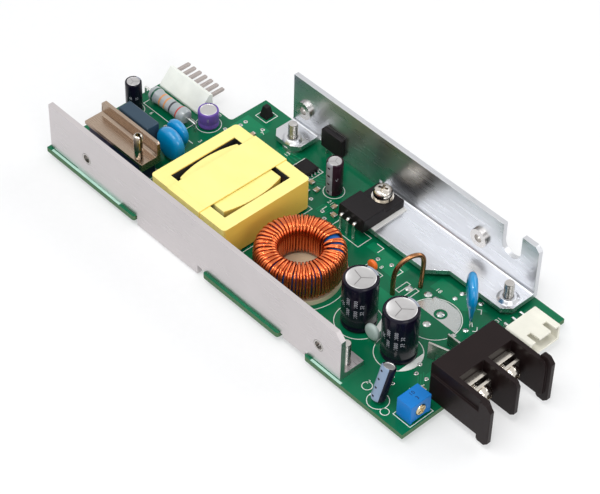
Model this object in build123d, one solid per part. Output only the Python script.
from build123d import *
import math
import os

# Open-frame switching power supply.
# Board frame while modelling: X along the board from the pin header to the terminal block,
# Y across it from the near side plate to the far bracket, Z up from the board's top face.
# Every piece is moved to the model frame when it is written: its origin is under the middle of the part.

# Circuit board
board_length = 146.0
board_width = 61.2
board_thickness = 1.6
header_lobe_width = 47.4
header_lobe_length = 26.5
lobe_fillet = 1.2
notch_corner = 0.8
edge_notch_depth = 4.2
long_notch_start = 39.0
long_notch_end = 68.4
short_notch_start = 98.8
short_notch_end = 109.1
solder_height = 1.4
solder_margin = 0.45
thin_bar_sides = 8
solder_sides = 6

# Sheet metal
sheet = 1.6
bend_inner_radius = 0.8
bend_outer_radius = 0.5
relief_width = 1.2

# Near side plate
plate_start = 1.0
plate_end = 122.0
plate_setback = 0.9
plate_height = 16.4
plate_corner_cut = 2.2
plate_foot_depth = 8.6
plate_foot_length = 12.0
plate_tab_start = 39.5
plate_tab_end = 65.3
plate_tab_drop = 3.2
plate_key_start = 100.0
plate_key_end = 108.6
plate_key_drop = 1.1
plate_insert_x = 17.6
plate_insert_spacing = 96.0
plate_insert_height = 6.8
plate_screw_depth = 5.6
plate_screw_inset = 3.0

# Far bracket
bracket_start = 40.4
bracket_end = 136.0
bracket_setback = 0.2
bracket_height = 19.8
bracket_standoff = 1.4
bracket_tab_length = 10.6
bracket_tab_depth = 8.9
bracket_tab_cut = 2.2
flange_start = 77.6
flange_depth = 15.2
flange_narrow_depth = 10.5
flange_step_x = 110.0
flange_end_cut = 2.4
notch_centre_x = 126.5
notch_width = 6.8
notch_centre_height = 13.7
bracket_corner_cut = 1.4
bracket_insert_x = 45.4
bracket_insert_spacing = 70.0
bracket_insert_height = 9.6
bracket_screw_x = 46.8
bracket_screw_spacing = 85.5
bracket_screw_depth = 7.7

# M3 fasteners and inserts
thread_radius = 1.45
thread_clearance = 0.1
screw_hole_radius = 1.7
pan_head_radius = 2.8
pan_head_height = 2.2
pan_head_crown_rise = 0.9
stud_rise = 8.8
insert_bore_radius = 1.25
insert_spigot_radius = 1.7
insert_collar_radius = 2.9
insert_collar_height = 1.0
spacer_radius = 3.0
collar_top_radius = 2.3
collar_base_radius = 3.2
collar_height = 1.1
washer_radius = 3.2
washer_thickness = 0.5
spring_washer_radius = 2.65
spring_washer_thickness = 0.8
spring_washer_gap = 0.5
recess_width = 0.8
recess_reach = 1.5
recess_depth = 1.0

# Power transistor on the flange
transistor_x = 83.8
transistor_width = 10.0
transistor_wall_gap = 2.5
transistor_tab_length = 7.3
transistor_body_length = 8.7
transistor_body_height = 4.5
transistor_draft = 0.36
transistor_tab_height = 2.7
transistor_pad_thickness = 0.3
transistor_pad_margin = 1.3
transistor_screw_inset = 3.6
transistor_lead_pitch = 2.54
transistor_lead_width = 0.8
transistor_lead_thickness = 0.5
transistor_lead_rise = 2.4
transistor_lead_reach = 1.2

# Slim device on the bracket wall
slim_x = 58.0
slim_width = 8.2
slim_thickness = 1.6
slim_rise = 2.6
slim_height = 6.6
slim_bevel = 0.3
slim_lead_pitch = 2.54
slim_lead_width = 0.5

# Transformer
transformer_x = 53.9
transformer_row = 0.3775
core_length = 30.2
core_width = 31.2
core_leg = 3.7
core_yoke = 3.5
core_top = 11.3
core_base = 1.0
post_width = 11.0
post_base = 4.0
post_top = 8.4
bobbin_wall = 0.8
bobbin_gap = 0.1
bobbin_flange = 0.9
bobbin_rail_inset = 2.1
winding_side_gap = 0.5
winding_bow = 1.7
winding_top = 11.35
winding_base = 1.3
winding_end_gap = 0.5
tape = 0.35
tape_corner = 1.2
centre_tape_width = 13.2
centre_tape_shift = -1.2
centre_tape_drop = 8.0
transformer_pin_pitch = 5.0
transformer_pins_per_side = 5
transformer_pin_inset = 2.3
transformer_pin_radius = 0.35

# Toroidal choke
choke_x = 86.5
power_row = 0.317
choke_outer_radius = 13.1
choke_inner_radius = 6.0
choke_height = 10.9
choke_base_radius = 12.0
choke_base_thickness = 1.5
wire = 0.76
choke_turns = 50
choke_gap_angle = 20.0
choke_gap_middle = 51.0
choke_corner = 1.1
choke_wire_clearance = 0.06
choke_lead_angle = 5.0
choke_lead_rise = 9.0

# Radial electrolytic capacitors
can_sleeve = 0.25
can_sleeve_gap = 0.05
can_lip = 0.55
can_crown_dip = 0.3
vent_depth = 0.2
vent_width = 0.35
output_can_radius = 5.0
output_can_height = 16.8
output_can_pitch = 5.0
output_can_lead_radius = 0.3
output_can_x = 109.8
output_can_spacing = 15.2
small_can_lead_radius = 0.25
driver_can_radius = 2.5
driver_can_height = 11.8
driver_can_pitch = 2.0
driver_can_x = 68.6
driver_can_edge_gap = 12.0
input_can_radius = 2.5
input_can_height = 11.0
input_can_pitch = 2.0
input_can_x = 4.0
input_can_gap = 1.85
squat_can_radius = 3.15
squat_can_height = 5.8
squat_can_pitch = 2.5
squat_can_x = 23.4
squat_can_edge_gap = 6.0
leaning_can_radius = 2.1
leaning_can_height = 10.6
leaning_can_pitch = 1.5
leaning_can_x = 133.5
leaning_can_y = 3.4
leaning_can_rise = 0.9
leaning_can_angle = 20.0

# The row along the terminal edge: gaps between its parts, as shares of the width that they leave free
edge_to_trimmer = 0.2123
trimmer_to_terminal = 0.1704
terminal_to_socket = 0.2486

# Terminal block
terminal_pitch = 10.5
terminal_wall = 1.5
terminal_back_x = 140.6
terminal_bay_x = 149.0
terminal_front_x = 160.8
terminal_height = 12.5
terminal_rib = 0.7
terminal_rib_height = 8.6
terminal_end_plate_length = 4.0
terminal_end_plate_front = 162.2
terminal_end_plate_drop = 1.9
terminal_end_plate_rise = 1.6
terminal_floor = 1.2
terminal_floor_reach = 2.6
terminal_back_bevel = 0.5
terminal_root = 1.0
terminal_toe = 1.2
terminal_toe_rise = 1.0
terminal_brow = 1.0
terminal_brow_drop = 1.6
terminal_rib_inset = 0.6
end_plate_bevel = 0.6
end_plate_heel = 0.5
terminal_thread_play = 0.4
clamp_width = 7.2
clamp_height = 7.4
clamp_lip = 2.4
clamp_thickness = 1.0
clamp_centre_height = 6.0
terminal_screw_head_radius = 2.8
terminal_screw_head_height = 2.0
terminal_screw_reach = 3.4
square_washer = 6.4
terminal_pin_width = 1.0
terminal_pin_x = 144.0

# Side-entry socket
socket_back_x = 140.9
socket_front_x = 150.0
socket_width = 12.0
socket_height = 5.9
socket_wall = 0.8
socket_bevel = 0.4
socket_back_wall = 2.2
socket_pin_pitch = 3.0
socket_pin_count = 3
socket_pin = 0.64
socket_pin_clearance = 0.05
socket_pin_height = 3.2
socket_pin_setback = 2.6
socket_pin_recess = 3.4
socket_window_length = 3.4
socket_window_width = 1.6

# Pin header
header_start = 0.9
header_pitch = 2.54
header_count = 7
header_setback = 0.2
header_depth = 5.6
header_height = 5.7
header_crest = 1.2
header_foot_height = 0.9
header_pin = 1.0
header_pin_clearance = 0.04
header_pin_height = 3.6
header_pin_reach = 5.3
header_tail_inset = 1.6

# Trimmer
trimmer_front_x = 145.0
trimmer_depth = 5.2
trimmer_width = 7.4
trimmer_height = 6.5
trimmer_foot = 0.4
trimmer_foot_width = 1.0
rotor_radius = 1.7
rotor_clearance = 0.08
rotor_recess = 1.0
rotor_stand = 0.25
rotor_slot_width = 0.55
rotor_slot_depth = 0.5
rotor_height = 3.3
trimmer_pin_pitch = 2.5

# Film capacitor
film_start = 9.0
film_length = 13.0
film_near_y = 19.5
film_width = 4.6
film_height = 10.0
film_pitch = 10.0
film_round = 0.6

# Rectifier block and its folded heat spreader
rectifier_start = 5.7
rectifier_length = 24.0
rectifier_near_y = 10.6
rectifier_width = 6.0
rectifier_height = 6.6
rectifier_bevel = 0.8
rectifier_pin_pitch = 5.0
rectifier_pin_count = 4
spreader_start = 5.3
spreader_length = 25.5
spreader_near_y = 10.1
spreader_depth = 7.0
spreader_sheet = 1.1
spreader_rise = 4.7
spreader_lip = 1.6
spreader_fold = 0.7
fin_start_inset = 0.3
fin_lean = 0.3
fin_corner = 1.0
fin_end_corner = 0.6
clip_x = 27.8
clip_y = 11.6
clip_radius = 1.3
clip_bore_radius = 0.75
clip_slot = 0.6
clip_height = 8.7
clip_point = 0.35

# Film resistor
resistor_start = 4.4
resistor_length = 15.4
resistor_header_gap = 2.95
resistor_radius = 2.45
resistor_cap_length = 2.6
resistor_waist = 0.25
resistor_round = 0.6
resistor_rise = 3.1
resistor_lead_radius = 0.35
resistor_lead_reach = 3.4
resistor_lead_bend = 1.0

# Disc capacitors
disc_lead_radius = 0.28
disc_pitch = 5.0
disc_rise = 0.9
disc_edge = 0.3
large_disc_x = 27.9
large_disc_y = 23.3
large_disc_radius = 5.3
large_disc_thickness = 4.0
middle_disc_x = 24.6
middle_disc_y = 28.7
middle_disc_radius = 4.2
middle_disc_thickness = 3.2
line_disc_x = 128.6
line_disc_edge_gap = 18.7
line_disc_radius = 5.2
line_disc_thickness = 2.6
line_disc_rise = 5.0
line_disc_turn = -44.0
line_disc_pitch = 7.5
coat_leg_start = 2.7
coat_leg_end = 8.9
coat_leg_tip_radius = 0.55
coat_leg_root_radius = 1.1
grey_disc_x = 117.4
grey_disc_offset = 2.4
grey_disc_radius = 2.6
grey_disc_thickness = 1.8
orange_disc_x = 98.9
orange_disc_edge_gap = 26.2
orange_disc_radius = 1.7
orange_disc_thickness = 1.5
small_disc_pitch = 2.5

# Wire link
link_wire_radius = 0.7
link_start_x = 108.6
link_start_edge_gap = 28.0
link_end_x = 111.8
link_end_edge_gap = 20.5
link_height = 11.6
link_shoulder = 8.2
link_knee = 2.0
link_lean = 0.3
link_crest = 0.68
link_bend = 1.3

# Small board parts
driver_chip_x = 56.9
driver_chip_edge_gap = 11.9
driver_chip_length = 5.4
driver_chip_width = 4.9
driver_chip_height = 1.7
driver_chip_bevel = 0.3
driver_chip_lead = 0.8
driver_chip_lead_thickness = 0.2
driver_chip_lead_width = 0.45
driver_chip_pitch = 1.27
driver_chip_lead_count = 4
post_cap_x = 31.9
post_cap_edge_gap = 4.6
post_cap_size = 3.0
post_cap_top = 1.6
post_cap_height = 3.8
shunt_sheet = 0.6
shunt_leg = 2.2
shunt_strip_depth = 3.2
tall_shunt_x = 134.3
tall_shunt_drop = 1.2
tall_shunt_length = 6.6
tall_shunt_height = 5.7
tall_shunt_turn = 18.0
low_shunt_x = 134.8
low_shunt_rise = 4.8
low_shunt_length = 6.4
low_shunt_height = 4.2
chip_length = 2.0
chip_width = 1.25
chip_height = 0.8
chip_end = 0.4
plated_thickness = 0.08
footprint_x = 122.7
footprint_edge_gap = 26.3
footprint_radius = 7.4
footprint_chord = 0.5
footprint_far = 7.1
pad_clear_radius = 1.9
pad_dome_radius = 1.15
pad_dome_height = 0.25
small_dome_radius = 0.8

# Tinned pads of the empty footprints, each from the round footprint's middle
footprint_pads = [(0.0, 2.6), (0.0, -2.65), (-12.6, 3.1), (-7.5, 5.4), (-4.9, 5.5)]
small_pads = [(-1.6, 9.8), (-1.5, 12.5), (4.5, 13.6), (8.5, 3.5)]

# Places of the eight small chip parts: the share of the board's length, the share of the far strip's
# depth from the far edge, and whether each lies along X
far_strip_depth = 20.0
chip_places = [
    (0.424, 0.72, True), (0.4466, 0.78, False), (0.4342, 0.89, True), (0.5041, 0.83, False),
    (0.5199, 0.95, True), (0.3726, 0.85, False), (0.2438, 0.68, False), (0.9493, 2.33, True),
]

# Heights that follow
board_bottom = -board_thickness
rest_level = board_bottom - pan_head_height
flange_bottom = bracket_standoff
flange_top = flange_bottom + sheet
wall_outer_y = board_width - bracket_setback
wall_inner_y = wall_outer_y - sheet
plate_inner_y = plate_setback + sheet
transistor_bottom = flange_top + transistor_pad_thickness
transistor_tab_end_y = wall_inner_y - transistor_wall_gap
transistor_step_y = transistor_tab_end_y - transistor_tab_length
transistor_front_y = transistor_step_y - transistor_body_length
transistor_tab_top = transistor_bottom + transistor_tab_height
transistor_screw_y = transistor_tab_end_y - transistor_screw_inset
choke_bottom = choke_base_thickness
choke_top = choke_bottom + choke_height
winding_half_width = core_length / 2 - core_leg - winding_side_gap
bobbin_rail_length = core_length - 2 * bobbin_rail_inset
spreader_bottom = rectifier_height
spreader_floor_top = spreader_bottom + spreader_sheet

# Places that follow from the board's width
transformer_y = board_width * transformer_row
choke_y = board_width * power_row
output_can_y = board_width * power_row
grey_disc_y = output_can_y - grey_disc_offset
driver_can_y = board_width - driver_can_edge_gap
driver_chip_y = board_width - driver_chip_edge_gap
line_disc_y = board_width - line_disc_edge_gap
orange_disc_y = board_width - orange_disc_edge_gap
link_start_y = board_width - link_start_edge_gap
link_end_y = board_width - link_end_edge_gap
post_cap_y = board_width - post_cap_edge_gap
footprint_y = board_width - footprint_edge_gap
header_far_y = header_lobe_width - header_setback
header_near_y = header_far_y - header_depth
header_tail_y = header_far_y - header_tail_inset
resistor_y = header_near_y - resistor_header_gap - resistor_radius
input_can_y = resistor_y - resistor_radius - input_can_gap - input_can_radius
squat_can_y = header_lobe_width - squat_can_edge_gap

# The row along the terminal edge, from the near corner to the far one
terminal_block_width = 2 * terminal_pitch + terminal_wall + 2 * terminal_rib
free_width = board_width - trimmer_width - terminal_block_width - socket_width
trimmer_near_y = free_width * edge_to_trimmer
terminal_near_rib_y = trimmer_near_y + trimmer_width + free_width * trimmer_to_terminal
terminal_middle_y = terminal_near_rib_y + terminal_block_width / 2
terminal_near_y = terminal_middle_y - terminal_pitch - terminal_wall / 2
terminal_far_y = terminal_middle_y + terminal_pitch + terminal_wall / 2
socket_near_y = terminal_near_rib_y + terminal_block_width + free_width * terminal_to_socket
socket_far_y = socket_near_y + socket_width

# Origin of the model: under the middle of the whole part, on the surface it stands on
origin_x = terminal_end_plate_front / 2
origin_y = board_width / 2


def block(x0, x1, y0, y1, z0, z1):
    """A plain block between two corners."""
    size = Box(x1 - x0, y1 - y0, z1 - z0)
    return Pos((x0 + x1) / 2, (y0 + y1) / 2, (z0 + z1) / 2) * size


def rod(x, y, z0, z1, radius):
    """An upright cylinder."""
    return Pos(x, y, (z0 + z1) / 2) * Cylinder(radius, z1 - z0)


def rod_x(x0, x1, y, z, radius):
    """A cylinder along X."""
    return Pos((x0 + x1) / 2, y, z) * Rot(0, 90, 0) * Cylinder(radius, x1 - x0)


def rod_y(x, y0, y1, z, radius):
    """A cylinder along Y."""
    return Pos(x, (y0 + y1) / 2, z) * Rot(90, 0, 0) * Cylinder(radius, y1 - y0)


def prism_z(points, z0, z1):
    """An outline in the XY plane, raised from z0 to z1."""
    face = make_face(Polyline(*points, close=True))
    return Pos(0, 0, z0) * extrude(face, amount=z1 - z0, dir=(0, 0, 1))


def prism_x(points, x0, x1):
    """An outline of (y, z) points, drawn out along X."""
    face = make_face(Polyline(*[(x0, y, z) for y, z in points], close=True))
    return extrude(face, amount=x1 - x0, dir=(1, 0, 0))


def prism_y(points, y0, y1):
    """An outline of (x, z) points, drawn out along Y."""
    face = make_face(Polyline(*[(x, y0, z) for x, z in points], close=True))
    return extrude(face, amount=y1 - y0, dir=(0, 1, 0))


def turned(points, x, y):
    """A solid turned about an upright axis from (radius, height) points."""
    face = make_face(Polyline(*[(r, 0, z) for r, z in points], close=True))
    return Pos(x, y, 0) * revolve(face, Axis.Z)


def thin_bar(x, y, z0, z1, radius):
    """A thin lead standing upright, eight-sided so that the many leads stay light."""
    section = Plane((x, y, z0)) * RegularPolygon(radius, thin_bar_sides)
    return extrude(section, amount=z1 - z0)


def group(solids):
    """Separate solids that are kept in one node."""
    return Compound(children=list(solids))


def spread(count, pitch):
    """Offsets of evenly pitched places about their middle."""
    return [(i - (count - 1) / 2) * pitch for i in range(count)]


def radial_pair(x, y, pitch, turn=0.0):
    """The two lead places of a two-lead part, its pitch turned from X."""
    reach = pitch / 2
    dx = reach * math.cos(math.radians(turn))
    dy = reach * math.sin(math.radians(turn))
    return [(x - dx, y - dy), (x + dx, y + dy)]


# Where leads pass through the board


def output_can_centres():
    return [(output_can_x, output_can_y), (output_can_x + output_can_spacing, output_can_y)]


def output_can_leads():
    return [p for x, y in output_can_centres() for p in radial_pair(x, y, output_can_pitch)]


def small_can_leads():
    return (radial_pair(driver_can_x, driver_can_y, driver_can_pitch)
            + radial_pair(input_can_x, input_can_y, input_can_pitch)
            + radial_pair(squat_can_x, squat_can_y, squat_can_pitch)
            + radial_pair(leaning_can_x, leaning_can_y, leaning_can_pitch))


def disc_leads():
    return (radial_pair(large_disc_x, large_disc_y, disc_pitch)
            + radial_pair(middle_disc_x, middle_disc_y, disc_pitch)
            + radial_pair(line_disc_x, line_disc_y, line_disc_pitch, line_disc_turn)
            + radial_pair(grey_disc_x, grey_disc_y, small_disc_pitch)
            + radial_pair(orange_disc_x, orange_disc_y, small_disc_pitch))


def transformer_pins():
    reach = core_width / 2 - transformer_pin_inset
    offsets = spread(transformer_pins_per_side, transformer_pin_pitch)
    return [(transformer_x + dx, transformer_y + dy) for dy in (-reach, reach) for dx in offsets]


def choke_leads():
    """Both ends of the winding, coming down outside the core within the gap."""
    radius = choke_outer_radius - wire / 2
    angles = [choke_gap_middle - choke_lead_angle, choke_gap_middle + choke_lead_angle]
    return [(choke_x + radius * math.cos(math.radians(a)),
             choke_y + radius * math.sin(math.radians(a))) for a in angles]


def film_leads():
    return radial_pair(film_start + film_length / 2, film_near_y + film_width / 2, film_pitch)


def resistor_leads():
    middle = resistor_start + resistor_length / 2
    return radial_pair(middle, resistor_y, resistor_length + 2 * resistor_lead_reach)


def link_ends():
    return [(link_start_x, link_start_y), (link_end_x, link_end_y)]


def header_places():
    first = header_start + header_pitch / 2
    return [(first + i * header_pitch, header_tail_y) for i in range(header_count)]


def socket_places():
    middle = socket_far_y - socket_width / 2
    tail_x = socket_back_x - socket_pin_setback
    return [(tail_x, middle + dy) for dy in spread(socket_pin_count, socket_pin_pitch)]


def terminal_places():
    return [(terminal_pin_x, terminal_middle_y + dy) for dy in spread(2, terminal_pitch)]


def trimmer_places():
    x = trimmer_front_x - trimmer_depth / 2
    return [(x, trimmer_near_y + trimmer_width / 2 + dy) for dy in spread(3, trimmer_pin_pitch)]


def transistor_places():
    y = transistor_front_y - transistor_lead_reach
    return [(transistor_x + dx, y) for dx in spread(3, transistor_lead_pitch)]


def slim_places():
    return [(slim_x + dx, wall_inner_y - slim_thickness / 2) for dx in spread(3, slim_lead_pitch)]


def rectifier_places():
    x = rectifier_start + rectifier_length / 2
    y = rectifier_near_y + rectifier_width / 2
    return [(x + dx, y) for dx in spread(rectifier_pin_count, rectifier_pin_pitch)]


def soldered_places():
    """Every lead that is soldered through the board, as (x, y, half its thickness)."""
    sets = [(output_can_leads(), output_can_lead_radius), (small_can_leads(), small_can_lead_radius),
            (disc_leads(), disc_lead_radius), (transformer_pins(), transformer_pin_radius),
            (choke_leads(), wire / 2), (film_leads(), disc_lead_radius),
            (resistor_leads(), resistor_lead_radius), (link_ends(), link_wire_radius),
            (header_places(), header_pin / 2), (socket_places(), socket_pin / 2),
            (terminal_places(), terminal_pin_width / 2), (trimmer_places(), slim_lead_width / 2),
            (transistor_places(), transistor_lead_width / 2), (slim_places(), slim_lead_width / 2),
            (rectifier_places(), transistor_lead_width / 2)]
    return [(x, y, half) for places, half in sets for x, y in places]


def plate_screw_places():
    depth = plate_screw_depth
    return [(plate_start + plate_foot_length - 2 * plate_screw_inset, depth),
            (plate_end - plate_screw_inset, depth)]


def bracket_screw_places():
    y = wall_outer_y - bracket_screw_depth
    return [(bracket_screw_x, y), (bracket_screw_x + bracket_screw_spacing, y)]


def mounting_screw_places():
    return plate_screw_places() + bracket_screw_places()


# Board and sheet metal


def circuit_board():
    """The notched board with its screw holes; the holes round soldered leads are filled by their solder."""
    outline = [(0, 0), (long_notch_start, 0), (long_notch_start, edge_notch_depth),
               (long_notch_end, edge_notch_depth), (long_notch_end, 0), (short_notch_start, 0),
               (short_notch_start, edge_notch_depth), (short_notch_end, edge_notch_depth),
               (short_notch_end, 0), (board_length, 0), (board_length, board_width),
               (header_lobe_length, board_width), (header_lobe_length, header_lobe_width),
               (0, header_lobe_width)]
    board = prism_z(outline, board_bottom, 0)
    inner = board.edges().filter_by(Axis.Z).sort_by_distance((header_lobe_length, header_lobe_width, 0))[0]
    board = fillet(inner, lobe_fillet)
    for x in (long_notch_start, long_notch_end, short_notch_start, short_notch_end):
        corner = board.edges().filter_by(Axis.Z).sort_by_distance((x, 0, -board_thickness / 2))[0]
        board = fillet(corner, notch_corner)
    return board - [rod(x, y, board_bottom, 0, screw_hole_radius) for x, y in mounting_screw_places()]


def bent_section(outer_y, side, drop, reach):
    """A wall's lower end and its foot as one outline: side is +1 where the foot goes towards +Y."""
    def at(y, z):
        return (0, outer_y + side * y, drop + z)

    corner = bend_outer_radius
    root = sheet + bend_inner_radius
    corner_middle = bend_outer_radius * (1 - math.sqrt(0.5))
    root_middle = sheet + bend_inner_radius * (1 - math.sqrt(0.5))
    outer_arc = ThreePointArc(at(0, corner), at(corner_middle, corner_middle), at(corner, 0))
    inner_arc = ThreePointArc(at(root, sheet), at(root_middle, root_middle), at(sheet, root))
    outline = [Line(at(0, root), at(0, corner)), outer_arc, Line(at(corner, 0), at(reach, 0)),
               Line(at(reach, 0), at(reach, sheet)), Line(at(reach, sheet), at(root, sheet)), inner_arc,
               Line(at(sheet, root), at(0, root))]
    return make_face(Wire(outline))


def bent_foot(x0, x1, outer_y, side, drop, reach):
    """The bend and foot between two places along X."""
    return Pos(x0, 0, 0) * extrude(bent_section(outer_y, side, drop, reach), amount=x1 - x0, dir=(1, 0, 0))


def near_side_plate():
    """The wall along the near edge with its two feet, and the tab and key that drop into the board's notches."""
    bend_top = bend_inner_radius + sheet
    outline = [(plate_start, bend_top), (plate_start, plate_height),
               (plate_end - plate_corner_cut, plate_height),
               (plate_end, plate_height - plate_corner_cut), (plate_end, bend_top),
               (plate_end - plate_foot_length, bend_top), (plate_end - plate_foot_length, 0),
               (plate_key_end, 0), (plate_key_end, -plate_key_drop), (plate_key_start, -plate_key_drop),
               (plate_key_start, 0), (plate_tab_end, 0), (plate_tab_end, -plate_tab_drop),
               (plate_tab_start, -plate_tab_drop), (plate_tab_start, 0),
               (plate_start + plate_foot_length, 0), (plate_start + plate_foot_length, bend_top)]
    plate = prism_y(outline, plate_setback, plate_inner_y)
    plate += bent_foot(plate_start, plate_start + plate_foot_length, plate_setback, 1, 0, plate_foot_depth)
    plate += bent_foot(plate_end - plate_foot_length, plate_end, plate_setback, 1, 0, plate_foot_depth)
    for x in (plate_insert_x, plate_insert_x + plate_insert_spacing):
        plate -= rod_y(x, plate_setback, plate_inner_y, plate_insert_height,
                       insert_spigot_radius + thread_clearance)
    for x, y in plate_screw_places():
        plate -= rod(x, y, 0, sheet, thread_radius + thread_clearance)
    return plate


def flange_outline():
    front = wall_outer_y - flange_depth - sheet
    narrow = wall_outer_y - flange_narrow_depth - sheet
    step = narrow - front
    bend = wall_outer_y - bend_inner_radius - sheet
    return [(flange_start, bend), (flange_start, front), (flange_step_x, front),
            (flange_step_x + step, narrow), (bracket_end - flange_end_cut, narrow),
            (bracket_end, narrow + flange_end_cut), (bracket_end, bend)]


def tab_outline():
    front = wall_outer_y - bracket_tab_depth - sheet
    end = bracket_start + bracket_tab_length
    cut = bracket_tab_cut
    bend = wall_outer_y - bend_inner_radius - sheet
    return [(bracket_start, bend), (bracket_start, front + cut), (bracket_start + cut, front),
            (end - cut, front), (end, front + cut), (end, bend)]


def far_bracket():
    """The wall along the far edge with its flange and left tab, its slot and the collars round its two screws."""
    bend_top = flange_bottom + bend_inner_radius + sheet
    bend_reach = bend_inner_radius + 2 * sheet
    cut = bracket_corner_cut
    tab_end = bracket_start + bracket_tab_length
    wall = [(bracket_start, bend_top), (bracket_start, bracket_height), (bracket_end - cut, bracket_height),
            (bracket_end, bracket_height - cut), (bracket_end, bend_top), (flange_start, bend_top),
            (flange_start, flange_bottom), (tab_end, flange_bottom), (tab_end, bend_top)]
    bracket = prism_y(wall, wall_inner_y, wall_outer_y)
    bracket += bent_foot(bracket_start, tab_end, wall_outer_y, -1, flange_bottom, bend_reach)
    bracket += bent_foot(flange_start, bracket_end, wall_outer_y, -1, flange_bottom, bend_reach)
    bracket += prism_z(flange_outline(), flange_bottom, flange_top)
    bracket += prism_z(tab_outline(), flange_bottom, flange_top)
    for x in (tab_end, flange_start - relief_width):
        bracket -= block(x, x + relief_width, wall_inner_y, wall_outer_y, flange_bottom, bend_top)
    notch_floor = notch_centre_height
    bracket -= rod_y(notch_centre_x, wall_inner_y, wall_outer_y, notch_floor, notch_width / 2)
    bracket -= block(notch_centre_x - notch_width / 2, notch_centre_x + notch_width / 2,
                     wall_inner_y, wall_outer_y, notch_floor, bracket_height)
    for x in (bracket_insert_x, bracket_insert_x + bracket_insert_spacing):
        bracket -= rod_y(x, wall_inner_y, wall_outer_y, bracket_insert_height,
                         insert_spigot_radius + thread_clearance)
    for x, y in bracket_screw_places():
        boss = [(0, flange_top), (collar_base_radius, flange_top),
                (collar_top_radius, flange_top + collar_height), (0, flange_top + collar_height)]
        bracket += turned(boss, x, y)
        bracket -= rod(x, y, flange_bottom, flange_top + collar_height, thread_radius + thread_clearance)
    return bracket - rod(transistor_x, transistor_screw_y, flange_bottom, flange_top,
                         thread_radius + thread_clearance)


def insert(x, outer_y, inner_y, z, side):
    """A pressed threaded insert: the spigot fills the sheet and the collar stands inside."""
    spigot = rod_y(x, min(outer_y, inner_y), max(outer_y, inner_y), z, insert_spigot_radius)
    collar_end = inner_y + side * insert_collar_height
    collar = rod_y(x, min(inner_y, collar_end), max(inner_y, collar_end), z, insert_collar_radius)
    bore = rod_y(x, min(outer_y, collar_end), max(outer_y, collar_end), z, insert_bore_radius)
    return spigot + collar - bore


def clinch_nuts():
    """The threaded inserts pressed into both walls."""
    near = [insert(plate_insert_x + dx, plate_setback, plate_inner_y, plate_insert_height, 1)
            for dx in (0, plate_insert_spacing)]
    far = [insert(bracket_insert_x + dx, wall_outer_y, wall_inner_y, bracket_insert_height, -1)
           for dx in (0, bracket_insert_spacing)]
    return group(near + far)


def bracket_spacers():
    rings = []
    for x, y in bracket_screw_places():
        ring = rod(x, y, 0, bracket_standoff, spacer_radius)
        rings.append(ring - rod(x, y, 0, bracket_standoff, thread_radius + thread_clearance))
    return group(rings)


def mounting_screws():
    """Screws driven from below the board, their thread ends standing up through the feet."""
    screws = []
    for x, y in mounting_screw_places():
        head = rod(x, y, rest_level, board_bottom, pan_head_radius)
        screws.append(head + rod(x, y, board_bottom, stud_rise, thread_radius))
    return group(screws)


# Power transistor and slim device


def transistor_pad():
    half = transistor_width / 2
    pad = block(flange_start, transistor_x + half + transistor_pad_margin,
                wall_outer_y - flange_depth - sheet, transistor_tab_end_y, flange_top, transistor_bottom)
    return pad - rod(transistor_x, transistor_screw_y, flange_top, transistor_bottom, screw_hole_radius)


def transistor_body():
    half = transistor_width / 2
    top = transistor_bottom + transistor_body_height
    draft = transistor_draft
    profile = [(transistor_front_y, transistor_bottom), (transistor_tab_end_y, transistor_bottom),
               (transistor_tab_end_y, transistor_tab_top), (transistor_step_y, transistor_tab_top),
               (transistor_step_y - draft, top), (transistor_front_y + draft, top)]
    body = prism_x(profile, transistor_x - half, transistor_x + half)
    long_edges = body.edges().filter_by(Axis.Y).group_by(Axis.Z)[-1]
    body = chamfer(long_edges, draft)
    return body - rod(transistor_x, transistor_screw_y, transistor_bottom, transistor_tab_top,
                      screw_hole_radius)


def transistor_leads():
    leads = []
    z = transistor_bottom + transistor_lead_rise
    half = transistor_lead_width / 2
    t = transistor_lead_thickness
    for x, y in transistor_places():
        path = [(transistor_front_y, z), (transistor_front_y, z + t), (y - t / 2 + t, z + t), (y - t / 2, z),
                (y - t / 2, 0), (y + t / 2, 0), (y + t / 2, z)]
        leads.append(prism_x(path, x - half, x + half))
    return group(leads)


def transistor_washers():
    """A flat washer and, on it, a split spring washer."""
    x, y = transistor_x, transistor_screw_y
    z = transistor_tab_top
    step = z + washer_thickness
    top = step + spring_washer_thickness
    bore = thread_radius + thread_clearance
    flat = rod(x, y, z, step, washer_radius) - rod(x, y, z, step, bore)
    split = block(x, x + 2 * spring_washer_radius, y - spring_washer_gap / 2, y + spring_washer_gap / 2,
                  step, top)
    spring = rod(x, y, step, top, spring_washer_radius) - rod(x, y, step, top, bore) - split
    return group([flat, spring])


def transistor_screw():
    """A pan-head screw with a cross recess, its end flush with the flange's underside."""
    x, y = transistor_x, transistor_screw_y
    seat = transistor_tab_top + washer_thickness + spring_washer_thickness
    top = seat + pan_head_height
    rim = seat + pan_head_height - pan_head_crown_rise
    crown = pan_head_radius - pan_head_crown_rise
    head = turned([(0, seat), (pan_head_radius, seat), (pan_head_radius, rim), (crown, top), (0, top)], x, y)
    for along_x, along_y in ((recess_reach, recess_width / 2), (recess_width / 2, recess_reach)):
        head -= block(x - along_x, x + along_x, y - along_y, y + along_y, top - recess_depth, top)
    return head + rod(x, y, flange_bottom, seat, thread_radius)


def slim_device():
    half = slim_width / 2
    near = wall_inner_y - slim_thickness
    body = block(slim_x - half, slim_x + half, near, wall_inner_y, slim_rise, slim_rise + slim_height)
    return chamfer(body.edges().filter_by(Axis.Y).group_by(Axis.Z)[-1], slim_bevel)


def slim_device_leads():
    half = slim_lead_width / 2
    return group(block(x - half, x + half, y - half, y + half, 0, slim_rise) for x, y in slim_places())


# Transformer


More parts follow.
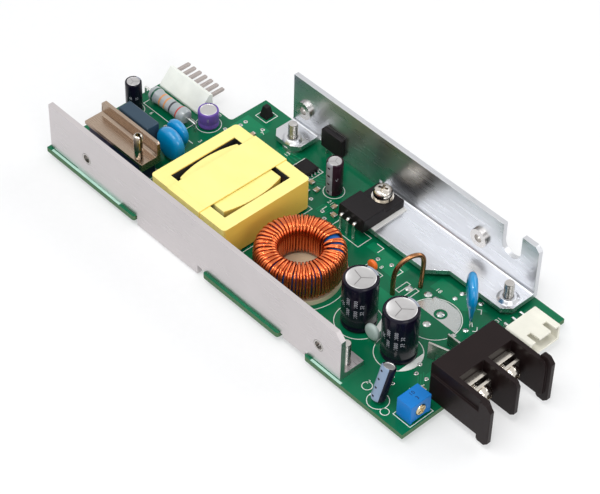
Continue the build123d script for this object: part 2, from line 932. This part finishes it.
def transformer_core_halves():
    """Two E-shaped ferrite halves whose three legs meet at the middle."""
    halves = []
    for side in (-1, 1):
        x0 = transformer_x - core_length / 2
        x1 = transformer_x + core_length / 2
        back = transformer_y + side * core_width / 2
        yoke = back - side * core_yoke
        leg_end = transformer_y
        low, high = sorted((back, yoke))
        half = block(x0, x1, low, high, core_base, core_top)
        low, high = sorted((back, leg_end))
        half += block(x0, x0 + core_leg, low, high, core_base, core_top)
        half += block(x1 - core_leg, x1, low, high, core_base, core_top)
        half += block(transformer_x - post_width / 2, transformer_x + post_width / 2, low, high,
                      post_base, post_top)
        halves.append(half)
    return group(halves)


def transformer_bobbin():
    """The tube on the middle leg, its two end flanges and the pin rails under the yokes."""
    inner = post_width / 2 + bobbin_gap
    outer = inner + bobbin_wall
    reach = core_width / 2 - core_yoke - bobbin_gap
    low = transformer_y - reach
    high = transformer_y + reach
    tube = block(transformer_x - outer, transformer_x + outer, low, high,
                 post_base - bobbin_gap - bobbin_wall, post_top + bobbin_gap + bobbin_wall)
    flange_half = core_length / 2 - core_leg - bobbin_gap
    for y0, y1 in ((low, low + bobbin_flange), (high - bobbin_flange, high)):
        tube += block(transformer_x - flange_half + winding_bow, transformer_x + flange_half - winding_bow,
                      y0, y1, 0, winding_top - winding_bow)
    tube -= block(transformer_x - inner, transformer_x + inner, low, high,
                  post_base - bobbin_gap, post_top + bobbin_gap)
    half_rail = bobbin_rail_length / 2
    near = transformer_y - core_width / 2
    far = transformer_y + core_width / 2
    for y0, y1 in ((near, low + bobbin_flange), (high - bobbin_flange, far)):
        tube += block(transformer_x - half_rail, transformer_x + half_rail, y0, y1, 0, core_base)
    return tube


def transformer_winding():
    """The taped coil: barrel-shaped in plan, bowed out towards the outer legs."""
    reach = core_width / 2 - core_yoke - bobbin_gap - bobbin_flange - winding_end_gap
    half = winding_half_width
    end = half - winding_bow
    low = transformer_y - reach
    high = transformer_y + reach
    x = transformer_x
    right = ThreePointArc((x + end, low), (x + half, transformer_y), (x + end, high))
    left = ThreePointArc((x - end, high), (x - half, transformer_y), (x - end, low))
    outline = [Line((x - end, low), (x + end, low)), right, Line((x + end, high), (x - end, high)), left]
    face = Pos(0, 0, winding_base) * make_face(Wire(outline))
    coil = extrude(face, amount=winding_top - winding_base, dir=(0, 0, 1))
    hole = post_width / 2 + bobbin_gap * 2 + bobbin_wall
    return coil - block(x - hole, x + hole, low, high, post_base - 2 * bobbin_gap - bobbin_wall,
                        post_top + 2 * bobbin_gap + bobbin_wall)


def transformer_wrap_tape():
    """Tape round the core's four sides, folded in over the legs and yokes."""
    x0 = transformer_x - core_length / 2
    x1 = transformer_x + core_length / 2
    y0 = transformer_y - core_width / 2
    y1 = transformer_y + core_width / 2
    top = core_top + tape
    wrap = block(x0 - tape, x1 + tape, y0 - tape, y1 + tape, core_base, top)
    wrap = fillet(wrap.edges().filter_by(Axis.Z), tape_corner)
    wrap -= block(x0, x1, y0, y1, core_base, core_top)
    window_x = core_length / 2 - core_leg
    window_y = core_width / 2 - core_yoke
    wrap -= block(transformer_x - window_x, transformer_x + window_x,
                  transformer_y - window_y, transformer_y + window_y, core_top, top)
    return wrap


def transformer_centre_tape():
    """The wide band over the coil and down both ends."""
    x0 = transformer_x + centre_tape_shift - centre_tape_width / 2
    x1 = x0 + centre_tape_width
    y0 = transformer_y - core_width / 2 - tape
    y1 = transformer_y + core_width / 2 + tape
    top = core_top + tape
    band = block(x0, x1, y0 - tape, y1 + tape, top - centre_tape_drop, top + tape)
    return band - block(x0, x1, y0, y1, top - centre_tape_drop, top)


# Toroidal choke


def choke_core():
    """The ring core with its coating, a plain ring section."""
    clear = wire + choke_wire_clearance
    outer = choke_outer_radius - clear
    inner = choke_inner_radius + clear
    low = choke_bottom + clear
    high = choke_top - clear
    return turned([(inner, low), (outer, low), (outer, high), (inner, high)], choke_x, choke_y)


def choke_winding():
    """One loop of wire for each turn, round the ring's section, spread over all but the gap."""
    cut = choke_corner
    inner, outer = choke_inner_radius, choke_outer_radius
    rim = [(inner + cut, choke_bottom), (outer - cut, choke_bottom), (outer, choke_bottom + cut),
           (outer, choke_top - cut), (outer - cut, choke_top), (inner + cut, choke_top),
           (inner, choke_top - cut), (inner, choke_bottom + cut)]
    hollow = [(inner + wire, choke_bottom + wire), (outer - wire, choke_bottom + wire),
              (outer - wire, choke_top - wire), (inner + wire, choke_top - wire)]
    step = (360 - choke_gap_angle) / choke_turns
    width = math.radians(step) * choke_inner_radius - choke_wire_clearance
    loop = prism_y(rim, -width / 2, width / 2) - prism_y(hollow, -width / 2, width / 2)
    first = choke_gap_middle + choke_gap_angle / 2 + step / 2
    return group(Pos(choke_x, choke_y, 0) * Rot(0, 0, first + i * step) * loop for i in range(choke_turns))


def choke_base():
    return rod(choke_x, choke_y, 0, choke_base_thickness, choke_base_radius)


def choke_lead_group():
    return group(thin_bar(x, y, 0, choke_lead_rise, wire / 2) for x, y in choke_leads())


# Electrolytic capacitors


def can_solid(radius, height):
    """The drawn aluminium can, sealed, its crown scored in a cross."""
    inner = radius - can_sleeve - can_sleeve_gap
    top = height - can_sleeve
    can = rod(0, 0, 0, top, inner)
    reach = inner - can_lip
    for along_x, along_y in ((reach, vent_width / 2), (vent_width / 2, reach)):
        can -= block(-along_x, along_x, -along_y, along_y, top - vent_depth, top)
    return can


def sleeve_solid(radius, height):
    """The shrunk sleeve, rolled over the crown's rim."""
    inner = radius - can_sleeve
    crown = inner - can_lip
    points = [(inner, 0), (radius, 0), (radius, height - can_sleeve), (radius - can_sleeve, height),
              (crown, height), (crown, height - can_sleeve), (inner, height - can_sleeve)]
    return turned(points, 0, 0)


def sleeved_can(radius, height):
    """A small can and its tight sleeve in one, the crown set back inside the sleeve's lip."""
    crown = radius - can_sleeve - can_lip
    points = [(0, 0), (radius, 0), (radius, height), (crown, height), (crown, height - can_crown_dip),
              (0, height - can_crown_dip)]
    return turned(points, 0, 0)


def leaning(shape):
    """Puts a capacitor made at the origin on its leaning axis."""
    return Pos(leaning_can_x, leaning_can_y, leaning_can_rise) * Rot(-leaning_can_angle, 0, 0) * shape


def output_capacitor_cans():
    can = can_solid(output_can_radius, output_can_height)
    return group(Pos(x, y, 0) * can for x, y in output_can_centres())


def output_capacitor_sleeves():
    sleeve = sleeve_solid(output_can_radius, output_can_height)
    return group(Pos(x, y, 0) * sleeve for x, y in output_can_centres())


def squat_capacitor_can():
    return Pos(squat_can_x, squat_can_y, 0) * can_solid(squat_can_radius, squat_can_height)


def squat_capacitor_sleeve():
    return Pos(squat_can_x, squat_can_y, 0) * sleeve_solid(squat_can_radius, squat_can_height)


def driver_capacitor():
    return Pos(driver_can_x, driver_can_y, 0) * sleeved_can(driver_can_radius, driver_can_height)


def input_capacitor():
    return Pos(input_can_x, input_can_y, 0) * sleeved_can(input_can_radius, input_can_height)


def leaning_capacitor():
    return leaning(sleeved_can(leaning_can_radius, leaning_can_height))


def leaning_capacitor_leads():
    """Both leads, bent at half their length so that they meet the leaning base squarely."""
    lean = math.radians(leaning_can_angle)
    leads = []
    for x, y in radial_pair(leaning_can_x, leaning_can_y, leaning_can_pitch):
        knee = leaning_can_rise / 2
        foot = thin_bar(x, y, 0, knee, small_can_lead_radius)
        top = Pos(x, y, leaning_can_rise) * Rot(-leaning_can_angle, 0, 0)
        rise = leaning_can_rise - knee / math.cos(lean)
        leads.append(foot + top * thin_bar(0, 0, -rise, 0, small_can_lead_radius))
    return group(leads)


# Terminal block


def terminal_profile(front, height):
    """A barrier's outline of (x, z), its upper front corner rounded off by two cuts."""
    root = terminal_bay_x - terminal_root
    return [(root, 0), (front - terminal_toe, 0), (front, terminal_toe_rise),
            (front, height - terminal_brow_drop), (front - terminal_brow, height), (root, height)]


def terminal_housing():
    """The block with its two wire bays, three barriers, floor and the taller plates at both ends."""
    body = block(terminal_back_x, terminal_bay_x, terminal_near_y, terminal_far_y, 0, terminal_height)
    top_back = body.edges().filter_by(Axis.Y).group_by(Axis.Z)[-1].sort_by(Axis.X)[0]
    body = chamfer(top_back, terminal_back_bevel)
    half = terminal_wall / 2
    for dy in spread(3, terminal_pitch):
        y = terminal_middle_y + dy
        body += prism_y(terminal_profile(terminal_front_x, terminal_height), y - half, y + half)
    body += block(terminal_bay_x, terminal_bay_x + terminal_floor_reach,
                  terminal_near_y, terminal_far_y, 0, terminal_floor)
    body += block(terminal_back_x + terminal_rib_inset, terminal_front_x - terminal_toe,
                  terminal_near_y - terminal_rib, terminal_near_y, 0, terminal_rib_height)
    front = terminal_end_plate_front
    back = front - terminal_end_plate_length
    near = terminal_near_y - terminal_rib
    far = terminal_far_y + terminal_rib - terminal_wall
    drop = -terminal_end_plate_drop
    for y, top in ((near, terminal_height), (far, terminal_height + terminal_end_plate_rise)):
        plate = [(back, drop + end_plate_bevel), (back + end_plate_bevel, drop), (front - terminal_toe, drop),
                 (front, drop + terminal_toe), (front, top - terminal_brow_drop),
                 (front - terminal_brow_drop, top), (back + end_plate_heel, top),
                 (back, top - end_plate_heel)]
        body += prism_y(plate, y, y + terminal_wall)
    for _, y in terminal_places():
        body -= rod_x(terminal_bay_x - terminal_screw_reach, terminal_bay_x, y, clamp_centre_height,
                      thread_radius + thread_clearance)
    return body


def terminal_clamps():
    """A bent contact plate in each bay, its upper lip turned out over the wire."""
    clamps = []
    x0 = terminal_bay_x
    x1 = x0 + clamp_thickness
    low = clamp_centre_height - clamp_height / 2
    high = clamp_centre_height + clamp_height / 2
    for _, y in terminal_places():
        half = clamp_width / 2
        bent = [(x0, low), (x1, low), (x1, high - clamp_thickness),
                (x0 + clamp_lip, high - clamp_thickness), (x0 + clamp_lip, high), (x0, high)]
        plate = prism_y(bent, y - half, y + half)
        clamps.append(plate - rod_x(x0, x1, y, clamp_centre_height, thread_radius + thread_clearance))
    return group(clamps)


def terminal_screws():
    """Wire screws along X, each turned part way out."""
    screws = []
    seat = terminal_bay_x + clamp_thickness + terminal_screw_reach
    for _, y in terminal_places():
        z = clamp_centre_height
        end = terminal_bay_x - terminal_screw_reach + terminal_thread_play
        top = seat + terminal_screw_head_height
        reach = terminal_screw_head_radius
        half = recess_width / 2
        head = rod_x(seat, top, y, z, reach)
        slot = block(top - recess_depth, top, y - reach, y + reach, z - half, z + half)
        cross = block(top - recess_depth, top, y - half, y + half, z - recess_reach, z + recess_reach)
        screws.append(rod_x(end, seat, y, z, thread_radius) + (head - slot - cross))
    return group(screws)


def terminal_washers():
    """The square captive washer under each wire screw's head."""
    seat = terminal_bay_x + clamp_thickness + terminal_screw_reach
    rings = []
    for _, y in terminal_places():
        z = clamp_centre_height
        half = square_washer / 2
        plate = block(seat - washer_thickness * 2, seat, y - half, y + half, z - half, z + half)
        rings.append(plate - rod_x(seat - washer_thickness * 2, seat, y, z, thread_radius + thread_clearance))
    return group(rings)


# Connectors


def socket_housing():
    """A hollow shell open towards the terminal edge, with two latch windows in its roof."""
    near = socket_near_y
    wall = socket_wall
    body = block(socket_back_x, socket_front_x, near, socket_far_y, 0, socket_height)
    body = chamfer(body.edges().filter_by(Axis.X).group_by(Axis.Z)[-1], socket_bevel)
    body -= block(socket_back_x + socket_back_wall, socket_front_x, near + wall, socket_far_y - wall,
                  wall, socket_height - wall)
    middle = socket_far_y - socket_width / 2
    for side in (-1, 1):
        y = middle + side * socket_width / 4
        body -= block(socket_front_x - socket_window_length, socket_front_x,
                      y - socket_window_width / 2, y + socket_window_width / 2,
                      socket_height - wall, socket_height)
    clear = socket_pin / 2 + socket_pin_clearance
    for _, y in socket_places():
        body -= block(socket_back_x, socket_back_x + socket_back_wall, y - clear, y + clear,
                      socket_pin_height - clear, socket_pin_height + clear)
        body -= block(socket_back_x, socket_back_x + socket_wall, y - socket_wall, y + socket_wall,
                      0, socket_pin_height - clear)
    return body


def socket_pins():
    pins = []
    half = socket_pin / 2
    tip = socket_front_x - socket_pin_recess
    for x, y in socket_places():
        z = socket_pin_height
        path = [(x - half, 0), (x + half, 0), (x + half, z - half), (tip, z - half),
                (tip, z + half), (x, z + half), (x - half, z)]
        pins.append(prism_y(path, y - half, y + half))
    return group(pins)


def header_housing():
    """A sloping friction wall with the pins leaving below its crest."""
    end = header_start + header_count * header_pitch
    profile = [(header_near_y, 0), (header_near_y, header_foot_height),
               (header_far_y - header_crest, header_height), (header_far_y, header_height - header_crest / 2),
               (header_far_y, 0)]
    body = prism_x(profile, header_start, end)
    clear = header_pin / 2 + header_pin_clearance
    for x, y in header_places():
        body -= block(x - clear, x + clear, y - clear, header_far_y,
                      header_pin_height - clear, header_pin_height + clear)
        body -= block(x - clear, x + clear, y - clear, y + clear, 0, header_pin_height + clear)
    return body


def header_pins():
    pins = []
    half = header_pin / 2
    tip = header_far_y + header_pin_reach
    for x, y in header_places():
        z = header_pin_height
        path = [(y - half, 0), (y + half, 0), (y + half, z - half), (tip - half, z - half),
                (tip, z - half / 2), (tip, z + half / 2), (tip - half, z + half), (y - half, z + half)]
        pins.append(prism_x(path, x - half, x + half))
    return group(pins)


# Trimmer


def trimmer_middle_y():
    return trimmer_near_y + trimmer_width / 2


def trimmer_body():
    """A small box on two foot rails, with a round recess for its rotor."""
    back = trimmer_front_x - trimmer_depth
    far = trimmer_near_y + trimmer_width
    body = block(back, trimmer_front_x, trimmer_near_y, far, trimmer_foot, trimmer_height)
    for y0, y1 in ((trimmer_near_y, trimmer_near_y + trimmer_foot_width), (far - trimmer_foot_width, far)):
        body += block(back, trimmer_front_x, y0, y1, 0, trimmer_foot)
    recess = rotor_radius + rotor_clearance
    return body - rod_x(trimmer_front_x - rotor_recess, trimmer_front_x, trimmer_middle_y(),
                        rotor_height, recess)


def trimmer_rotor():
    """The turned brass disc with its screwdriver slot."""
    back = trimmer_front_x - rotor_recess + rotor_clearance
    front = trimmer_front_x + rotor_stand
    y = trimmer_middle_y()
    disc = rod_x(back, front, y, rotor_height, rotor_radius)
    return disc - block(front - rotor_slot_depth, front, y - rotor_radius, y + rotor_radius,
                        rotor_height - rotor_slot_width / 2, rotor_height + rotor_slot_width / 2)


# Film capacitor, rectifier block and resistor


def film_capacitor():
    body = block(film_start, film_start + film_length, film_near_y, film_near_y + film_width, 0, film_height)
    top = body.edges().group_by(Axis.Z)[-1]
    return fillet(top, film_round)


def rectifier_block():
    body = block(rectifier_start, rectifier_start + rectifier_length, rectifier_near_y,
                 rectifier_near_y + rectifier_width, 0, rectifier_height)
    return chamfer(body.edges().filter_by(Axis.Z), rectifier_bevel)


def heat_spreader():
    """A sheet folded up along its far side and down over the right end."""
    start = spreader_start
    end = spreader_start + spreader_length
    far = spreader_near_y + spreader_depth
    root = far - spreader_sheet
    top = spreader_floor_top + spreader_rise
    plate = block(start, end, spreader_near_y, far, spreader_bottom, spreader_floor_top)
    fin_start = start + fin_start_inset
    shoulder = fin_start + fin_lean
    fin = [(fin_start, spreader_bottom), (end, spreader_bottom), (end, top - fin_end_corner),
           (end - fin_end_corner, top), (shoulder + fin_corner, top), (shoulder, top - fin_corner)]
    plate += prism_y(fin, root, far)
    plate += block(end - spreader_sheet, end, spreader_near_y, far,
                   spreader_bottom - spreader_lip, spreader_bottom)
    fold = [(root, spreader_floor_top), (root - spreader_fold, spreader_floor_top),
            (root, spreader_floor_top + spreader_fold)]
    return plate + prism_x(fold, shoulder, end)


def spreader_clip():
    """A slotted spring pin standing on the spreader, both its ends bevelled."""
    low = spreader_floor_top
    top = low + clip_height
    tip = clip_radius - clip_point
    points = [(clip_bore_radius, low), (tip, low), (clip_radius, low + clip_point),
              (clip_radius, top - clip_point), (tip, top), (clip_bore_radius, top)]
    slot = block(clip_x, clip_x + clip_radius, clip_y - clip_slot / 2, clip_y + clip_slot / 2, low, top)
    return turned(points, clip_x, clip_y) - slot


def resistor_body():
    """A lacquered tube, fuller over its two end caps."""
    end = resistor_length / 2
    cap = end - resistor_cap_length
    waist = resistor_radius - resistor_waist
    points = [(0, -end), (waist, -end), (resistor_radius, -end + resistor_round), (resistor_radius, -cap),
              (waist, -cap + resistor_round), (waist, cap - resistor_round), (resistor_radius, cap),
              (resistor_radius, end - resistor_round), (waist, end), (0, end)]
    return Pos(resistor_start + end, resistor_y, resistor_rise) * Rot(0, 90, 0) * turned(points, 0, 0)


def resistor_lead_group():
    leads = []
    ends = (resistor_start, resistor_start + resistor_length)
    for (x, y), end in zip(resistor_leads(), ends):
        path = FilletPolyline((end, y, resistor_rise), (x, y, resistor_rise), (x, y, 0),
                              radius=resistor_lead_bend)
        plane = Plane((end, y, resistor_rise), z_dir=(x - end, 0, 0))
        leads.append(sweep(plane * RegularPolygon(resistor_lead_radius, thin_bar_sides), path))
    return group(leads)


# Disc capacitors


def disc_solid(radius, thickness):
    """A dipped disc standing on edge across Y, with its rim rounded off."""
    edge = thickness * disc_edge
    flat = radius - edge
    face = thickness / 2
    rim = [(0, -face), (flat, -face), (radius, -face + edge), (radius, face - edge), (flat, face), (0, face)]
    return Rot(90, 0, 0) * turned(rim, 0, 0)


def blue_discs():
    """Radius, thickness, rise, place and turn of each blue disc capacitor."""
    return [(large_disc_radius, large_disc_thickness, disc_rise, large_disc_x, large_disc_y, 0.0),
            (middle_disc_radius, middle_disc_thickness, disc_rise, middle_disc_x, middle_disc_y, 0.0),
            (line_disc_radius, line_disc_thickness, line_disc_rise, line_disc_x, line_disc_y, line_disc_turn)]


def coat_legs():
    """The coating drawn down round both leads of the line disc, tapered towards the board."""
    legs = []
    for x, y in radial_pair(line_disc_x, line_disc_y, line_disc_pitch, line_disc_turn):
        tip = Plane((x, y, coat_leg_start)) * RegularPolygon(coat_leg_tip_radius, thin_bar_sides)
        root = Plane((x, y, coat_leg_end)) * RegularPolygon(coat_leg_root_radius, thin_bar_sides)
        legs.append(loft([tip, root], ruled=True))
    return legs


def blue_disc_capacitors():
    discs = [Pos(x, y, rise + radius) * Rot(0, 0, turn) * disc_solid(radius, thickness)
             for radius, thickness, rise, x, y, turn in blue_discs()]
    return group(discs[:-1] + [discs[-1] + coat_legs()])


def grey_disc_capacitor():
    half = grey_disc_thickness / 2
    return rod_y(grey_disc_x, grey_disc_y - half, grey_disc_y + half, disc_rise + grey_disc_radius,
                 grey_disc_radius)


def orange_disc_capacitor():
    half = orange_disc_thickness / 2
    return rod_y(orange_disc_x, orange_disc_y - half, orange_disc_y + half, disc_rise + orange_disc_radius,
                 orange_disc_radius)


def rim_height(radius, rise, pitch):
    """Where a disc's rim starts above a lead."""
    near = pitch / 2 - disc_lead_radius
    return rise + radius - math.sqrt(radius ** 2 - near ** 2)


def disc_lead_group():
    """Straight leads, each ending where the disc's rim or its coated leg starts."""
    large = radial_pair(large_disc_x, large_disc_y, disc_pitch)
    middle = radial_pair(middle_disc_x, middle_disc_y, disc_pitch)
    line = radial_pair(line_disc_x, line_disc_y, line_disc_pitch, line_disc_turn)
    grey = radial_pair(grey_disc_x, grey_disc_y, small_disc_pitch)
    orange = radial_pair(orange_disc_x, orange_disc_y, small_disc_pitch)
    sets = [(large, rim_height(large_disc_radius, disc_rise, disc_pitch)),
            (middle, rim_height(middle_disc_radius, disc_rise, disc_pitch)), (line, coat_leg_start),
            (grey, rim_height(grey_disc_radius, disc_rise, small_disc_pitch)),
            (orange, rim_height(orange_disc_radius, disc_rise, small_disc_pitch))]
    return group(thin_bar(x, y, 0, meet, disc_lead_radius) for places, meet in sets for x, y in places)


# Wire link and small parts


def wire_link():
    """A stiff enamelled wire: one leg leans over into a round head, the other drops straight."""
    dx = link_end_x - link_start_x
    dy = link_end_y - link_start_y
    span = math.hypot(dx, dy)
    ux, uy = dx / span, dy / span

    def at(distance, z):
        return (link_start_x + ux * distance, link_start_y + uy * distance, z)

    lean = span * link_lean
    crest = span * link_crest
    path = FilletPolyline(at(0, 0), at(0, link_knee), at(lean, link_shoulder), at(crest, link_height),
                          at(span, link_shoulder), at(span, 0), radius=link_bend)
    section = Plane(at(0, 0), z_dir=(0, 0, 1)) * RegularPolygon(link_wire_radius, thin_bar_sides)
    return sweep(section, path)


def driver_chip():
    x0 = driver_chip_x - driver_chip_length / 2
    y0 = driver_chip_y - driver_chip_width / 2
    x1 = x0 + driver_chip_length
    y1 = y0 + driver_chip_width
    body = block(x0, x1, y0, y1, plated_thickness, driver_chip_height)
    return chamfer(body.edges().group_by(Axis.Z)[-1], driver_chip_bevel)


def driver_chip_leads():
    """Gull-wing legs in a row along each side."""
    legs = []
    half = driver_chip_lead_width / 2
    knee = driver_chip_height / 2
    t = driver_chip_lead_thickness
    for side in (-1, 1):
        root = driver_chip_x + side * driver_chip_length / 2
        bend = root + side * driver_chip_lead / 2
        back = bend - side * t
        tip = root + side * driver_chip_lead
        leg = [(root, knee), (bend, knee), (bend, t), (tip, t), (tip, 0), (back, 0), (back, knee - t),
               (root, knee - t)]
        for dy in spread(driver_chip_lead_count, driver_chip_pitch):
            y = driver_chip_y + dy
            legs.append(prism_y(leg, y - half, y + half))
    return group(legs)


def chip_centres():
    """Each chip's middle, and whether it lies along X."""
    return [(board_length * x, board_width - far_strip_depth * depth, along_x) for x, depth, along_x in chip_places]


def chip_part_bodies():
    bodies = []
    for x, y, along_x in chip_centres():
        a = chip_length / 2 - chip_end
        b = chip_width / 2
        rx, ry = (a, b) if along_x else (b, a)
        bodies.append(block(x - rx, x + rx, y - ry, y + ry, 0, chip_height))
    return group(bodies)


def chip_part_ends():
    ends = []
    for x, y, along_x in chip_centres():
        for sign in (-1, 1):
            middle = sign * (chip_length - chip_end) / 2
            a, b = chip_end / 2, chip_width / 2
            cx, cy = (x + middle, y) if along_x else (x, y + middle)
            rx, ry = (a, b) if along_x else (b, a)
            ends.append(block(cx - rx, cx + rx, cy - ry, cy + ry, 0, chip_height))
    return group(ends)


def post_cap():
    """A small black cap, square below and drawn in towards its top."""
    low = Plane.XY * Rectangle(post_cap_size, post_cap_size)
    high = Plane.XY.offset(post_cap_height) * Rectangle(post_cap_top, post_cap_top)
    return Pos(post_cap_x, post_cap_y, 0) * loft([low, high])


def shunt_strip(length, height):
    """An upright strip with a leg turned down at each end, made round the origin along X."""
    half = length / 2
    leg = half - shunt_leg
    bridge = height - shunt_strip_depth
    outline = [(-half, 0), (-half, height), (half, height), (half, 0), (leg, 0), (leg, bridge),
               (-leg, bridge), (-leg, 0)]
    return prism_y(outline, -shunt_sheet / 2, shunt_sheet / 2)


def current_shunt():
    """Two resistance strips standing on edge behind the terminal block, one of them turned."""
    tall = Pos(tall_shunt_x, terminal_middle_y - tall_shunt_drop, 0) * Rot(0, 0, tall_shunt_turn)
    low = Pos(low_shunt_x, terminal_middle_y + low_shunt_rise, 0)
    return group([tall * shunt_strip(tall_shunt_length, tall_shunt_height),
                  low * shunt_strip(low_shunt_length, low_shunt_height)])


def plated_area():
    """The bare half of an empty round footprint, and the domed solder on the pads beside it."""
    middle = (footprint_x, footprint_y)
    pour = rod(*middle, 0, plated_thickness, footprint_radius)
    pour &= block(footprint_x - footprint_radius, footprint_x + footprint_radius,
                  footprint_y + footprint_chord, footprint_y + footprint_far, 0, plated_thickness)
    pad_x, pad_y = footprint_pads[0]
    pour -= rod(footprint_x + pad_x, footprint_y + pad_y, 0, plated_thickness, pad_clear_radius)
    for pads, radius in ((footprint_pads, pad_dome_radius), (small_pads, small_dome_radius)):
        for dx, dy in pads:
            foot = Plane((footprint_x + dx, footprint_y + dy, 0)) * RegularPolygon(radius, thin_bar_sides)
            crown = Plane((footprint_x + dx, footprint_y + dy, pad_dome_height))
            pour += loft([foot, crown * RegularPolygon(radius / 2, thin_bar_sides)], ruled=True)
    return pour


def solder_joints():
    """The tapered joint round each lead's trimmed end below the board."""
    joints = []
    slope = math.degrees(math.atan(solder_margin * math.cos(math.pi / solder_sides) / solder_height))
    for x, y, half in soldered_places():
        foot = Plane((x, y, board_bottom)) * RegularPolygon(half + solder_margin, solder_sides)
        joints.append(extrude(foot, amount=solder_height, dir=(0, 0, -1), taper=slope))
    return group(joints)


def placed(shape):
    """Moves a piece from the board's frame to the model frame."""
    return Pos(-origin_x, -origin_y, -rest_level) * shape


pieces = {
    "circuit_board": circuit_board,
    "solder_joints": solder_joints,
    "plated_area": plated_area,
    "near_side_plate": near_side_plate,
    "far_bracket": far_bracket,
    "clinch_nuts": clinch_nuts,
    "bracket_spacers": bracket_spacers,
    "mounting_screws": mounting_screws,
    "transistor_pad": transistor_pad,
    "transistor_body": transistor_body,
    "transistor_leads": transistor_leads,
    "transistor_washers": transistor_washers,
    "transistor_screw": transistor_screw,
    "slim_device": slim_device,
    "slim_device_leads": slim_device_leads,
    "transformer_core_halves": transformer_core_halves,
    "transformer_bobbin": transformer_bobbin,
    "transformer_winding": transformer_winding,
    "transformer_wrap_tape": transformer_wrap_tape,
    "transformer_centre_tape": transformer_centre_tape,
    "choke_core": choke_core,
    "choke_winding": choke_winding,
    "choke_base": choke_base,
    "choke_leads": choke_lead_group,
    "output_capacitor_cans": output_capacitor_cans,
    "output_capacitor_sleeves": output_capacitor_sleeves,
    "squat_capacitor_can": squat_capacitor_can,
    "squat_capacitor_sleeve": squat_capacitor_sleeve,
    "driver_capacitor": driver_capacitor,
    "input_capacitor": input_capacitor,
    "leaning_capacitor": leaning_capacitor,
    "leaning_capacitor_leads": leaning_capacitor_leads,
    "terminal_housing": terminal_housing,
    "terminal_clamps": terminal_clamps,
    "terminal_screws": terminal_screws,
    "terminal_washers": terminal_washers,
    "socket_housing": socket_housing,
    "socket_pins": socket_pins,
    "header_housing": header_housing,
    "header_pins": header_pins,
    "trimmer_body": trimmer_body,
    "trimmer_rotor": trimmer_rotor,
    "film_capacitor": film_capacitor,
    "rectifier_block": rectifier_block,
    "heat_spreader": heat_spreader,
    "spreader_clip": spreader_clip,
    "resistor_body": resistor_body,
    "resistor_leads": resistor_lead_group,
    "blue_disc_capacitors": blue_disc_capacitors,
    "grey_disc_capacitor": grey_disc_capacitor,
    "orange_disc_capacitor": orange_disc_capacitor,
    "disc_leads": disc_lead_group,
    "wire_link": wire_link,
    "driver_chip": driver_chip,
    "driver_chip_leads": driver_chip_leads,
    "chip_part_bodies": chip_part_bodies,
    "chip_part_ends": chip_part_ends,
    "post_cap": post_cap,
    "current_shunt": current_shunt,
}

os.makedirs("parts", exist_ok=True)
for name, make in pieces.items():
    export_step(placed(make()), f"parts/{name}.step")
